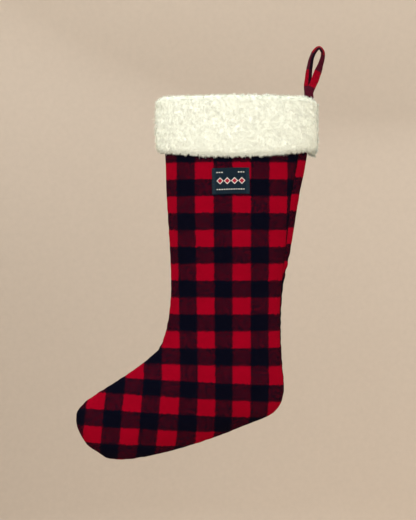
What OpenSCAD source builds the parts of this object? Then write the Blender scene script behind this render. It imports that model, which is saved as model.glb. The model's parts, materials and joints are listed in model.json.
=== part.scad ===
// Hanging stocking: a checked wool sock sewn from two panels, a turned-over fleece cuff,
// a woven label on the leg and a cloth loop at the heel-side corner of the cuff.
// Millimetres. +Z up, the leg hangs along -Z, the front faces -Y and the toe points to -X.
// The origin is the inside top of the loop's eye, where a hook holds it.

/* [Body] */
// Width from the calf side to the toe tip
body_w = 316; // [290:1:330]
// Height from the rim to the sole
body_h = 487; // [460:1:510]
// Depth of the leg, front to back
leg_depth = 46; // [40:1:54]
// Thickness of the wool cloth
cloth_t = 2.4; // [1.8:0.1:2.8]
// Width of the seam allowance turned inside
allowance = 10; // [8:0.5:12]

/* [Cuff] */
// Width of the fleece cuff
cuff_w = 222; // [218:1:230]
// Height of the fleece cuff on the outside
cuff_h = 74; // [66:1:90]
// Thickness of the fleece on the front and back
fleece_t = 9.6; // [8:0.2:12]
// Thickness of the fleece facing inside the mouth
facing_t = 5; // [4:0.2:6]
// How far the facing reaches down inside
facing_h = 36; // [30:1:44]
// How much lower the cuff's edge hangs at the middle than at the sides
cuff_sag = 8.5; // [0:0.5:10]

/* [Loop] */
// Width of the loop's strip
strip_w = 10.5; // [9:0.5:12]
// Thickness of the folded strip
strip_t = 2.6; // [2.2:0.1:2.8]

/* [Label] */
// Width of the woven label
label_w = 50; // [40:1:60]
// Height of the woven label
label_h = 35; // [28:1:40]
// Thickness of the woven label
label_t = 0.9; // [0.7:0.1:1.2]

/* [Sewing] */
// Diameter of the sewing thread
thread_d = 0.9; // [0.8:0.1:1.2]
// Length of one stitch
stitch = 4; // [3:0.5:6]

/* [Hidden] */

// Clearance between two sewn pieces that lie on each other, and between the wool and the cuff
gap = 0.15;
ease = 0.6;
// How sharply the sewn sides close: 1 is an ellipse, more is a pointed lens
lens = 1.25;
// Segments across a panel, stations along it, and steps around the cuff
across = 16;
along = 40;
around = 64;
// Zigzags of the side seam and of the overlocking, down the shin and down the calf
seam_zigzags = [96, 120];
overlock_zigzags = [80, 100];

wool_red = "#a00020";
wool_dark = "#3a0a18";
fleece = "#f3f2dc";
navy = "#1f2f3e";
cream_thread = "#e8e2c8";
dark_thread = "#14141c";

// Rungs across the sock from the mouth to the toe: shin side x, z, then calf side x, z.
// They are drawn for a body 316 wide and 487 high and follow body_w and body_h.
rung_points = [
    [-211, -67, -12, -67],
    [-209, -140, -16, -140],
    [-207, -200, -27, -200],
    [-203, -262, -37, -262],
    [-201, -320, -48, -320],
    [-204, -358, -51, -372],
    [-210, -386, -49, -420],
    [-217, -402, -46.5, -464],
    [-229, -414, -60, -490],
    [-248, -429, -100, -508],
    [-272, -445, -155, -529],
    [-296, -460, -210, -545],
    [-315, -473, -252, -553],
    [-326, -485, -281, -553],
    [-328.5, -496, -298, -544],
    [-327, -507, -311, -535],
    [-323.5, -515, -318, -525],
];
last_rung = len(rung_points) - 1;
body_top = -67;
body_right = -12;
// Half depth of the cuff
cuff_b = leg_depth / 2 + gap + fleece_t;
// Along the calf the seam sits a little to the front; here is by how many degrees, rung by rung
seam_turn = [[0, 28], [2, 28], [3, 23], [4, 12], [6, 6], [8, 0]];

// The loop's strip from its rear leg's root, over the hook, to its front leg's root:
// x, y, z of the middle of the strip, then its turn away from facing the front, in degrees
loop_route = [
    [-14.4, 1.6, -56.2, 0],
    [-14.8, 2.9, -50, 16],
    [-14.4, 4, -42, 26],
    [-13.2, 4.2, -30, 40],
    [-11.6, 3.6, -19, 54],
    [-9.4, 3, -9.5, 58],
    [-5.6, 2.2, -1.4, 60],
    [0.3, 1.2, 3.5, 62],
    [4.8, 0.3, -1.4, 60],
    [5.2, -0.4, -9, 58],
    [1.8, -1, -21, 44],
    [-2.8, -1.4, -33, 18],
    [-7.2, -1.6, -45, 6],
    [-12.6, -1.6, -56.2, 0],
];
// Middle of the loop's sewn root, which it swings about, and how far to the left and right of
// it the rear and front ends lie
root = [-13.5, 0, -56.2];
splay = 0.9;
// How far the strip's sewn-in ends reach below the root
ends_h = 34;

// Label: its middle on the front of the leg, and its small lean
label_mid = [-119.5, -178];
label_lean = 1;

// ---- small functions ----

function mix(a, b, t) = a + (b - a) * t;

function unit(v) = v / norm(v);

function reversed(list) = [for (i = [len(list) - 1 : -1 : 0]) list[i]];

function clamped(p, i) = p[max(0, min(len(p) - 1, i))];

// Smooth curve through the points of p; s is 0 at the first point, 1 at the second, and so on
function curve(p, s) =
    let (
        i = min(floor(s), len(p) - 2),
        t = s - i,
        a = clamped(p, i - 1),
        b = p[i],
        c = p[i + 1],
        d = clamped(p, i + 2)
    )
    0.5 * (2 * b + (c - a) * t + (2 * a - 5 * b + 4 * c - d) * t * t
        + (3 * b - a - 3 * c + d) * t * t * t);

// Height profile of the puffed cloth round a cross-section, -1 to 1
function bulge(phi) = sign(sin(phi)) * pow(abs(sin(phi)), lens);

// ---- the sock's cross-sections ----

// One rung scaled to the driving sizes
function rung(s) =
    let (
        q = curve(rung_points, s),
        fx = body_w / 316,
        fz = body_h / 487
    )
    [
        body_right + (q[0] - body_right) * fx, body_top + (q[1] - body_top) * fz,
        body_right + (q[2] - body_right) * fx, body_top + (q[3] - body_top) * fz,
    ];

// Cross-section at s: middle x and z, direction x and z, half width, half depth, seam turn
function section(s) =
    let (
        q = rung(s),
        half = [q[2] - q[0], q[3] - q[1]] / 2,
        a = norm(half)
    )
    [
        (q[0] + q[2]) / 2, (q[1] + q[3]) / 2, half[0] / a, half[1] / a,
        a, leg_depth / 2 * pow(min(1, a / 95), 0.6), lookup(s, seam_turn),
    ];

// A point of a cross-section, u along the rung from its middle and y to the rear
function place(sec, u, y) = [sec[0] + sec[2] * u, y, sec[1] + sec[3] * u];

// The point at angle phi of the section's oval, drawn in by inset
function oval(sec, inset, phi) =
    [(sec[4] - inset) * cos(phi), -(sec[5] - inset) * bulge(phi)];

// How far the wall and the allowance are joined at the fold, and how far the allowance reaches
function fold_w(a) = min(5.5, cloth_t + 0.3 * (a - cloth_t));

function reach_w(a) = min(allowance, cloth_t + 0.6 * (a - cloth_t));

// Thickness of a pressed allowance
function flap_t(a) = cloth_t * min(0.7, a / 20);

// Where the calf-side allowance ends, and the way to its front side
function calf_end(sec, ps) = oval(sec, 0, ps) + reach_w(sec[4]) * [-cos(ps), sin(ps)];

function calf_side(ps) = [-sin(ps), -cos(ps)];

// Cross-section ring of the front panel: outside, calf allowance, inside, shin allowance
function front_ring(s) =
    let (
        sec = section(s),
        a = sec[4],
        ps = sec[6],
        end = calf_end(sec, ps),
        n = calf_side(ps),
        flap = flap_t(a),
        phi_r = acos((a * cos(ps) - fold_w(a)) / (a - cloth_t)),
        phi_l = 180 - acos((a - fold_w(a)) / (a - cloth_t)),
        ring = concat(
            [for (i = [0 : across]) oval(sec, 0, mix(180, ps, i / across)) + [0, -gap]],
            [end + gap * n, end + (gap + flap) * n],
            [for (i = [0 : across]) oval(sec, cloth_t, mix(phi_r, phi_l, i / across))],
            [[reach_w(a) - a, -gap - flap], [reach_w(a) - a, -gap]]
        )
    )
    [for (p = ring) place(sec, p[0], p[1])];

// Cross-section ring of the back panel, which wraps the calf side up to the seam
function back_ring(s) =
    let (
        sec = section(s),
        a = sec[4],
        ps = sec[6],
        end = calf_end(sec, ps),
        n = calf_side(ps),
        flap = flap_t(a),
        fold = acos((a - fold_w(a)) / (a - cloth_t)),
        ring = concat(
            [for (i = [0 : across]) oval(sec, 0, mix(180, 360 + ps, i / across)) + [0, gap]],
            [end - gap * n, end - (gap + flap) * n],
            [for (i = [0 : across])
                oval(sec, cloth_t, mix(360 + ps - fold, 180 + fold, i / across))],
            [[reach_w(a) - a, gap + flap], [reach_w(a) - a, gap]]
        )
    )
    reversed([for (p = ring) place(sec, p[0], p[1])]);

// ---- solids from rings ----

// Triangles across a ring of n points that lies folded in two: point i faces point pair - i
function folded_cap(n, pair) = [
    for (i = [floor((pair - n) / 2) + 1 : floor((pair - n) / 2) + n / 2 - 1])
    let (
        a = (i + n) % n,
        b = (i + 1 + n) % n,
        c = (pair - i - 1 + n) % n,
        d = (pair - i + n) % n
    )
    each [[a, b, c], [a, c, d]]
];

// Joins rings of equal count into one solid; closed joins the last ring to the first, and
// pair is given where the rings are folded strips, whose caps run from side to side
module skin(rings, closed = false, pair = 0) {
    n = len(rings[0]);
    m = len(rings);
    spans = closed ? m : m - 1;
    sides = [
        for (k = [0 : spans - 1], i = [0 : n - 1])
        let (
            j = (i + 1) % n,
            lo = k * n,
            hi = ((k + 1) % m) * n
        )
        each [[lo + i, lo + j, hi + j], [lo + i, hi + j, hi + i]]
    ];
    flat = pair > 0 ? folded_cap(n, pair) : [[for (i = [0 : n - 1]) i]];
    caps = closed ? [] : [
        for (f = flat)
        each [reversed(f), [for (i = f) (m - 1) * n + i]]
    ];
    polyhedron(points = [for (r = rings, p = r) p], faces = concat(sides, caps), convexity = 8);
}

// Direction of a path at point i
function heading(path, i, closed) =
    let (m = len(path))
    closed
        ? unit(path[(i + 1) % m] - path[(i + m - 1) % m])
        : unit(path[min(m - 1, i + 1)] - path[max(0, i - 1)]);

// A round thread along a path; up is a direction that the path never takes
module thread(path, up, closed = false) {
    sides = 5;
    skin([
        for (i = [0 : len(path) - 1])
        let (
            t = heading(path, i, closed),
            u = unit(cross(t, up)),
            v = cross(t, u)
        )
        [for (k = [0 : sides - 1])
            path[i] + thread_d / 2 * (u * cos(360 * k / sides) - v * sin(360 * k / sides))]
    ], closed);
}

// ---- sock ----

module front_panel() {
    color(wool_red)
    skin([for (i = [0 : along]) front_ring(last_rung * i / along)], pair = 2 * across + 3);
}

module back_panel() {
    color(wool_red)
    skin([for (i = [0 : along]) back_ring(last_rung * i / along)], pair = 2 * across + 3);
}

// A line that runs inside the sewn edge from rung s0 to s1, side -1 at the shin and 1 at the
// calf, inset from the fold, zigzagging by swing across the two allowances
function edge_line(side, inset, swing, count) = [
    for (i = [0 : count])
    let (
        s = mix(0.1, last_rung - 0.6, i / count),
        sec = section(s),
        ps = side > 0 ? sec[6] : 0,
        rim = side > 0 ? oval(sec, 0, ps) : [-sec[4], 0],
        inward = side > 0 ? [-cos(ps), sin(ps)] : [1, 0],
        n = side > 0 ? calf_side(ps) : [0, -1],
        p = rim + inset * min(1, sec[4] / 40) * inward + swing * (i % 2 == 0 ? 1 : -1) * n
    )
    place(sec, p[0], p[1])
];

module side_seam_thread() {
    color(dark_thread) {
        thread(edge_line(-1, 3, 1.1, seam_zigzags[0]), [0, 1, 0]);
        thread(edge_line(1, 3, 1.1, seam_zigzags[1]), [0, 1, 0]);
    }
}

module overlock_thread() {
    color(dark_thread) {
        thread(edge_line(-1, allowance + 0.2, 1.5, overlock_zigzags[0]), [1, 0.2, 0.4]);
        thread(edge_line(1, allowance + 0.2, 1.5, overlock_zigzags[1]), [-1, 0.2, 0.4]);
    }
}

// ---- cuff ----

// The rung number whose height is z, by halving the range
function rung_at(z, low, high, steps) =
    let (middle = (low + high) / 2)
    steps == 0 ? middle
    : section(middle)[1] > z ? rung_at(z, middle, high, steps - 1)
    : rung_at(z, low, middle, steps - 1);

// The straight leg's section at height z
function leg_section(z) = section(rung_at(z, 0, 4, 24));

// A ring round the leg, its section grown by out
function leg_ring(z, out) =
    let (sec = leg_section(z))
    [for (k = [0 : around - 1])
        let (p = oval(sec, -out, -360 * k / around))
        [sec[0] + p[0], p[1], z]];

// A point of the facing at angle phi, deep inside its wool side. It keeps to the leg's section
// but stops short of the allowances at both ends.
function facing_point(sec, deep, phi) =
    let (
        a = sec[4],
        p = oval(sec, cloth_t + ease + deep, phi),
        clear = 2 * ease + deep,
        shin = reach_w(a) + clear - a,
        calf = (a - reach_w(a)) * cos(sec[6]) - (gap + flap_t(a)) * sin(sec[6]) - clear
    )
    [min(calf, max(shin, p[0])), p[1]];

function facing_ring(z, deep) =
    let (sec = leg_section(z))
    [for (k = [0 : around - 1])
        let (p = facing_point(sec, deep, -360 * k / around))
        [sec[0] + p[0], p[1], z]];

// Share of the sag by which the sewn end of the band hangs down, near 8 degrees
function drop(phi) =
    let (turned = (phi - 8 + 540) % 360 - 180)
    0.9 * exp(-pow(turned / 13, 2));

// Share of the sag by which the edge is higher at the calf side than in the middle
tilt = 0.12;

// A ring of the cuff's outside: the full outline drawn in by inset, hanging lower in the middle
function cuff_ring(z, inset, sag) =
    let (
        a = cuff_w / 2 - inset,
        b = cuff_b - inset
    )
    [for (k = [0 : around - 1])
        let (
            phi = -360 * k / around,
            rise = tilt * cos(phi) - pow(sin(phi), 2) - drop(phi)
        )
        [-cuff_w / 2 + a * cos(phi), -b * bulge(phi), z + sag * rise]];

// Points a share t of the way from ring p to ring q, all at height z
function ring_mix(p, q, t, z) =
    [for (k = [0 : len(p) - 1])
        let (m = mix(p[k], q[k], t))
        [m[0], m[1], z]];

module cuff() {
    top = body_top + 4.5;
    low = top - cuff_h;
    slot = body_top + gap;
    face_low = top - facing_h;
    lip_in = facing_ring(top - 8, facing_t);
    lip_out = cuff_ring(top - 8, 0, 0);
    color(fleece) skin([
        ring_mix(lip_in, lip_out, 0.7, top),
        ring_mix(lip_in, lip_out, 0.9, top - 2.5),
        cuff_ring(top - 7, 0.4, 0),
        cuff_ring(top - 14, 0, 0),
        cuff_ring(mix(top, low, 0.6), 0, cuff_sag / 2),
        cuff_ring(low + 6, 0.3, cuff_sag),
        cuff_ring(low + 1, 3, cuff_sag),
        leg_ring(low + 1, ease),
        leg_ring(mix(low, slot, 0.33), ease),
        leg_ring(mix(low, slot, 0.67), ease),
        leg_ring(slot, ease),
        facing_ring(slot, 0),
        facing_ring(face_low, 0),
        facing_ring(face_low, facing_t - 1),
        facing_ring(face_low + 3, facing_t),
        facing_ring(top - 10, facing_t),
        ring_mix(lip_in, lip_out, 0.12, top - 3),
        ring_mix(lip_in, lip_out, 0.35, top),
    ], true);
}

// Down the calf-side end of the cuff, through its two joined edges
module cuff_seam_thread() {
    top = body_top - 4;
    count = 16;
    color(cream_thread) thread([
        for (i = [0 : count])
        let (z = mix(top, body_top - cuff_h + 10, i / count))
        [
            -cuff_w / 2 + (cuff_w / 2 - 5) * cos(24),
            (5 - cuff_b) * bulge(24) + (i % 2 == 0 ? 1 : -1),
            z
        ]
    ], [0, 1, 0]);
}

// Round the mouth, through the facing and the wool
module cuff_join_thread() {
    z = body_top - facing_h + 12;
    sec = leg_section(z);
    count = 96;
    color(cream_thread) thread([
        for (k = [0 : count - 1])
        let (p = facing_point(sec, (k % 2 == 0 ? 1.8 : -2), -360 * k / count))
        [sec[0] + p[0], p[1], z]
    ], [0, 0, 1], true);
}

// ---- label ----

// Position on the front of the leg at x and z, lifted to the front by lift
function on_leg(x, z, lift) =
    let (
        sec = leg_section(z),
        v = (x - sec[0]) / sec[4]
    )
    [x, -sec[5] * pow(1 - v * v, lens / 2) - lift, z];

// A point of the label, u across and v down from its middle, in its leaning position
function on_label(u, v, lift) =
    on_leg(
        label_mid[0] + u * cos(label_lean) + v * sin(label_lean),
        label_mid[1] + u * sin(label_lean) - v * cos(label_lean),
        lift
    );

module label() {
    cols = 10;
    rows = 6;
    under = 2 * gap;
    us = [for (i = [0 : cols]) mix(-label_w / 2, label_w / 2, i / cols)];
    color(navy)
    skin([
        for (j = [0 : rows])
        let (v = mix(-label_h / 2, label_h / 2, j / rows))
        concat(
            [for (u = us) on_label(u, v, under + label_t)],
            [for (u = reversed(us)) on_label(u, v, under)]
        )
    ], pair = 2 * cols + 1);
}

// Running stitches along the label's two side edges, over the label and into the wool
module label_thread() {
    inset = 1.8;
    end = label_h / 2 - 1.5;
    count = 2 * floor(label_h / stitch);
    color(dark_thread)
    for (side = [-1, 1])
        thread([
            for (i = [0 : count])
            let (lift = i % 2 == 0 ? label_t + 0.7 : -0.6)
            on_label(side * (label_w / 2 - inset), mix(-end, end, i / count), lift)
        ], [1, 0, 0]);
}

// ---- loop ----

// Half width of the strip's rounded root end, d past the middle of the root
function end_half(d) = sqrt(max(0.3, pow(strip_w / 2, 2) - d * d));

// Ring of the strip at p, heading t, turned by alpha, with half width hw
function strip_ring(p, t, alpha, hw) =
    let (
        inward = unit([t[2], 0, -t[0]]),
        w = unit(cos(alpha) * inward + sin(alpha) * [0, -1, 0]),
        n = cross(t, w),
        ht = strip_t / 2,
        c = 0.7
    )
    [for (q = [
        [hw, ht - c], [hw, c - ht], [hw - c * 0.8, -ht], [c * 0.8 - hw, -ht],
        [-hw, c - ht], [-hw, ht - c], [c * 0.8 - hw, ht], [hw - c * 0.8, ht],
    ]) p + q[0] * w + q[1] * n];

module hanging_loop() {
    steps = 44;
    ends = [4.2, 3.4, 2.2, 1];
    spots = [for (i = [0 : steps]) curve(loop_route, (len(loop_route) - 1) * i / steps)];
    path = [for (q = spots) [q[0], q[1], q[2]]];
    first = heading(path, 0, false);
    last = heading(path, steps, false);
    color(wool_dark) skin(concat(
        [for (d = ends) strip_ring(path[0] - d * first, first, 0, end_half(d))],
        [for (i = [0 : steps])
            strip_ring(path[i], heading(path, i, false), spots[i][3], strip_w / 2)],
        [for (d = reversed(ends)) strip_ring(path[steps] + d * last, last, 0, end_half(d))]
    ));
}

// Stitches along the open edge of the folded strip, on the outer face of each leg
module loop_edge_thread() {
    count = 60;
    color(dark_thread) thread([
        for (i = [0 : count])
        let (
            s = mix(0.5, len(loop_route) - 1.5, i / count),
            q = curve(loop_route, s),
            r = curve(loop_route, s + 0.05),
            t = unit([r[0] - q[0], 0, r[2] - q[2]]),
            inward = [t[2], 0, -t[0]],
            w = cos(q[3]) * inward + sin(q[3]) * [0, -1, 0],
            n = cross(t, w),
            lift = strip_t / 2 * (i % 2 == 0 ? 1 : -1)
        )
        [q[0], q[1], q[2]] - (strip_w / 2 - 1.6) * w + lift * n
    ], [0.3, 1, 0.2]);
}

// The two ends of the strip, one behind the other, sewn down inside the top of the cuff. They
// stop below the loop's rounded root, so that it can swing.
module loop_ends() {
    below = strip_w / 2 + splay + 0.5;
    color(wool_dark)
    for (side = [-1, 1])
        translate(root + [-side * splay - strip_w / 2, side * 1.6 - strip_t / 2, -ends_h])
            cube([strip_w, strip_t, ends_h - below]);
}

// Close zigzag stitches across both ends
module loop_tack_thread() {
    count = 14;
    rows = [-8, -20];
    reach = 3.2;
    color(dark_thread)
    for (row = rows)
        thread([
            for (i = [0 : count])
            root + [mix(-3.6, 3.6, i / count), i % 2 == 0 ? reach : -reach, row]
        ], [0, 0, 1]);
}

front_panel();
back_panel();
side_seam_thread();
overlock_thread();
cuff();
cuff_seam_thread();
cuff_join_thread();
label();
label_thread();
loop_ends();
loop_tack_thread();
hanging_loop();
loop_edge_thread();
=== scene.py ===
"""Looks of the hanging stocking: checked wool, sherpa cuff, woven label and cloth loop.

Lengths in the shape code are millimetres in the row's frame; MM turns them into metres.
"""

import json
import math

import bpy
import numpy as np
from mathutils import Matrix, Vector


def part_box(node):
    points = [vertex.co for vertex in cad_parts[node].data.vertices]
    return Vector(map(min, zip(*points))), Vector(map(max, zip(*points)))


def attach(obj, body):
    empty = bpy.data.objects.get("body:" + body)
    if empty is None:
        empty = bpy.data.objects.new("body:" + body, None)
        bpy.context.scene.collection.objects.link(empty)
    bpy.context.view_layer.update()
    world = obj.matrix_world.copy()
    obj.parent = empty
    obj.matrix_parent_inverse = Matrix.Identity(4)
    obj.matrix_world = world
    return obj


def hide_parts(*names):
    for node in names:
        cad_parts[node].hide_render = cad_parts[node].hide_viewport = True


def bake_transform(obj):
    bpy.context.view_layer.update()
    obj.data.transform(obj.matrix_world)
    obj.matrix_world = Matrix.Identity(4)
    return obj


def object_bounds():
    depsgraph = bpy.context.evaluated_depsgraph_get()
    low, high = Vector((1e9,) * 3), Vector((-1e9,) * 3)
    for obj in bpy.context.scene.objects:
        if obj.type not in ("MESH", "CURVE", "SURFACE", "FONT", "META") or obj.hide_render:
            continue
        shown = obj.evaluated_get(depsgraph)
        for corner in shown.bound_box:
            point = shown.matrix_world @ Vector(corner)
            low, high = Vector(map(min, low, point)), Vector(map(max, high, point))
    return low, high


MM = 0.001

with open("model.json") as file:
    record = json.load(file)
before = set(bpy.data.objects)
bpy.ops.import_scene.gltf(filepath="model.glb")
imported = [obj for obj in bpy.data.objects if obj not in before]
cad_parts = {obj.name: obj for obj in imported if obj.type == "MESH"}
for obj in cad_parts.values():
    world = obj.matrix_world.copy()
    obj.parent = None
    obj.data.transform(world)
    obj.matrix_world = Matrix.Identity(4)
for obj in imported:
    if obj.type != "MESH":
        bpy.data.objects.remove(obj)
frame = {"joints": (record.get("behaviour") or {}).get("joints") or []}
cad_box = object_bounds()


# ---------------------------------------------------------------- places read from the frame


def node_box(*nodes):
    """Lowest and highest corners of some CAD nodes together, in millimetres."""
    corners = np.array([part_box(n) for n in nodes], float) / MM
    return corners[:, 0].min(0), corners[:, 1].max(0)


sock_low, sock_high = node_box("front_panel", "back_panel")
cuff_low, cuff_high = node_box("cuff")
label_low, label_high = node_box("label")
PIVOT = np.array(frame["joints"][0]["pos_m"]) / MM

# ---------------------------------------------------------------- shape constants, millimetres

# Rungs across the sock, mouth to toe: shin side x, z, calf side x, z. They are the CAD panels'
# own, and fitted_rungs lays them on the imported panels.
RUNGS = np.array([
    [-211, -67, -12, -67],
    [-209, -140, -16, -140],
    [-207, -200, -27, -200],
    [-203, -262, -37, -262],
    [-201, -320, -48, -320],
    [-204, -358, -51, -372],
    [-210, -386, -49, -420],
    [-217, -402, -46.5, -464],
    [-229, -414, -60, -490],
    [-248, -429, -100, -508],
    [-272, -445, -155, -529],
    [-296, -460, -210, -545],
    [-315, -473, -252, -553],
    [-326, -485, -281, -553],
    [-328.5, -496, -298, -544],
    [-327, -507, -311, -535],
    [-323.5, -515, -318, -525],
])
LAST_RUNG = len(RUNGS) - 1
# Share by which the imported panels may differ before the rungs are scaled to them
SAME_SIZE = 0.01
# How far the calf-side seam is turned to the front, in degrees, against the rung's number
SEAM_TURN = ((0, 28), (2, 28), (3, 23), (4, 12), (6, 6), (8, 0))
# How full a section is: 1 makes it an ellipse, and more draws its two edges to a point
LENS = 1.25
HALF_DEPTH = (sock_high[1] - sock_low[1]) / 2
# Half width from which on a section has its full depth
FULL_HALF_WIDTH = 95
# Thickness of the wool, gap between two layers that only touch, and width of a seam allowance
CLOTH = 2.4
GAP = 0.15
ALLOWANCE = 10

# Checked cloth: width and height of a check, where the grid starts, and the thread's pitch
CHECK_W = 24.95
CHECK_H = 22.6
CHECK_X = -192.2
CHECK_Z = -153.0
THREAD = 0.85


# ---------------------------------------------------------------- small maths


def smooth(edge0, edge1, x):
    """A soft step from 0 at edge0 to 1 at edge1, which may be the lower one."""
    t = np.clip((x - edge0) / (edge1 - edge0), 0, 1)
    return t * t * (3 - 2 * t)


def curve(points, s):
    """Smooth curve through points at each value of s, one unit from point to point."""
    points = np.asarray(points, float)
    s = np.asarray(s, float)
    i = np.clip(np.floor(s).astype(int), 0, len(points) - 2)
    t = (s - i).reshape(s.shape + (1,) * (points.ndim - 1))
    last = len(points) - 1
    a, b = points[np.clip(i - 1, 0, last)], points[i]
    c, d = points[i + 1], points[np.clip(i + 2, 0, last)]
    return 0.5 * (
        2 * b
        + (c - a) * t
        + (2 * a - 5 * b + 4 * c - d) * t * t
        + (3 * b - a - 3 * c + d) * t**3
    )


def waves(p, seed, scale):
    """Smooth, repeatable noise from two octaves of sines, about -1 to 1, at points p."""
    rng = np.random.default_rng(seed)
    total = np.zeros(p.shape[:-1])
    weight = 0
    for octave in range(2):
        for _ in range(5):
            direction = rng.normal(size=p.shape[-1])
            direction /= np.linalg.norm(direction)
            k = 2 * math.pi / scale * 2**octave * rng.uniform(0.7, 1.3)
            total += np.sin(p @ direction * k + rng.uniform(0, 2 * math.pi)) / 1.7**octave
        weight += 5**0.5 / 1.7**octave
    return total / weight


def half_turn(angle):
    """Angles in degrees, brought to between -180 and 180."""
    return (angle + 180) % 360 - 180


def unit(v):
    """Vectors of length 1."""
    return v / np.maximum(np.linalg.norm(v, axis=-1, keepdims=True), 1e-9)


# ---------------------------------------------------------------- the sock's sections


def fitted_rungs():
    """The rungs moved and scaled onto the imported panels."""
    rungs = RUNGS.copy()
    xs, zs = rungs[:, [0, 2]], rungs[:, [1, 3]]
    fx = (sock_high[0] - sock_low[0]) / (xs.max() - xs.min())
    fz = (sock_high[2] - sock_low[2]) / (zs.max() - zs.min())
    fx, fz = (1 if abs(f - 1) < SAME_SIZE else f for f in (fx, fz))
    rungs[:, [0, 2]] = sock_high[0] + (xs - xs.max()) * fx
    rungs[:, [1, 3]] = sock_high[2] + (zs - zs.max()) * fz
    return rungs


SOCK = fitted_rungs()


class Section:
    """Cross-sections of the sock at rung numbers s: middles, directions and half sizes."""

    def __init__(self, s):
        self.s = np.asarray(s, float)
        q = curve(SOCK, self.s)
        half = (q[..., 2:] - q[..., :2]) / 2
        self.a = np.linalg.norm(half, axis=-1)
        self.middle = (q[..., 2:] + q[..., :2]) / 2
        self.along = half / self.a[..., None]
        self.b = HALF_DEPTH * np.minimum(1, self.a / FULL_HALF_WIDTH) ** 0.6
        turns = np.array(SEAM_TURN, float)
        self.turn = np.interp(self.s, turns[:, 0], turns[:, 1])

    def place(self, u, y):
        """Points at u along each rung and y to the rear."""
        x = self.middle[..., 0] + self.along[..., 0] * u
        z = self.middle[..., 1] + self.along[..., 1] * u
        return np.stack([x, y + 0 * x, z], -1)


def bulge(phi):
    """Share of a section's half depth at angle phi, with its sign."""
    sine = np.sin(np.radians(phi))
    return np.sign(sine) * np.abs(sine) ** LENS


def rung_at(z):
    """Rung numbers at heights z of the straight leg."""
    s = np.linspace(0, 5, 400)
    heights = curve(SOCK, s)[:, 1]
    return np.interp(-np.asarray(z, float), -heights, s)


def leg_front(x, z, lift=0):
    """Points on the front of the leg at x and z, lifted to the front."""
    sec = Section(rung_at(z))
    v = (x - sec.middle[..., 0]) / sec.a
    y = -sec.b * (1 - v * v) ** (LENS / 2) - lift
    return np.stack([x, y, z + 0 * x], -1)


# ---------------------------------------------------------------- meshes


def make_mesh(name, points, faces):
    """A mesh object from millimetre points and faces of vertex numbers."""
    mesh = bpy.data.meshes.new(name)
    mesh.from_pydata((np.asarray(points) * MM).tolist(), [], [list(f) for f in faces])
    mesh.validate()
    mesh.shade_smooth()
    obj = bpy.data.objects.new(name, mesh)
    bpy.context.scene.collection.objects.link(obj)
    return obj


def grid_faces(rows, cols, wrap_rows=False, wrap_cols=False):
    """Quads of a rows by cols grid of points."""
    faces = []
    for r in range(rows if wrap_rows else rows - 1):
        for c in range(cols if wrap_cols else cols - 1):
            r1, c1 = (r + 1) % rows, (c + 1) % cols
            faces.append((r * cols + c, r * cols + c1, r1 * cols + c1, r1 * cols + c))
    return faces


def skin(name, rings, loop=False):
    """A closed solid through rings, a (rings, points, 3) array: capped, or a loop back to its start."""
    count, size = rings.shape[:2]
    faces = grid_faces(count, size, wrap_rows=loop, wrap_cols=True)
    points = rings.reshape(-1, 3)
    if not loop:
        faces.append(tuple(range(size - 1, -1, -1)))
        faces.append(tuple((count - 1) * size + i for i in range(size)))
    return make_mesh(name, points, faces)


def store(obj, name, values):
    """A vector of each point, which the materials read as their cloth coordinates."""
    attribute = obj.data.attributes.new(name, "FLOAT_VECTOR", "POINT")
    attribute.data.foreach_set("vector", np.asarray(values, np.float32).ravel())


# ---------------------------------------------------------------- node graphs


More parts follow.
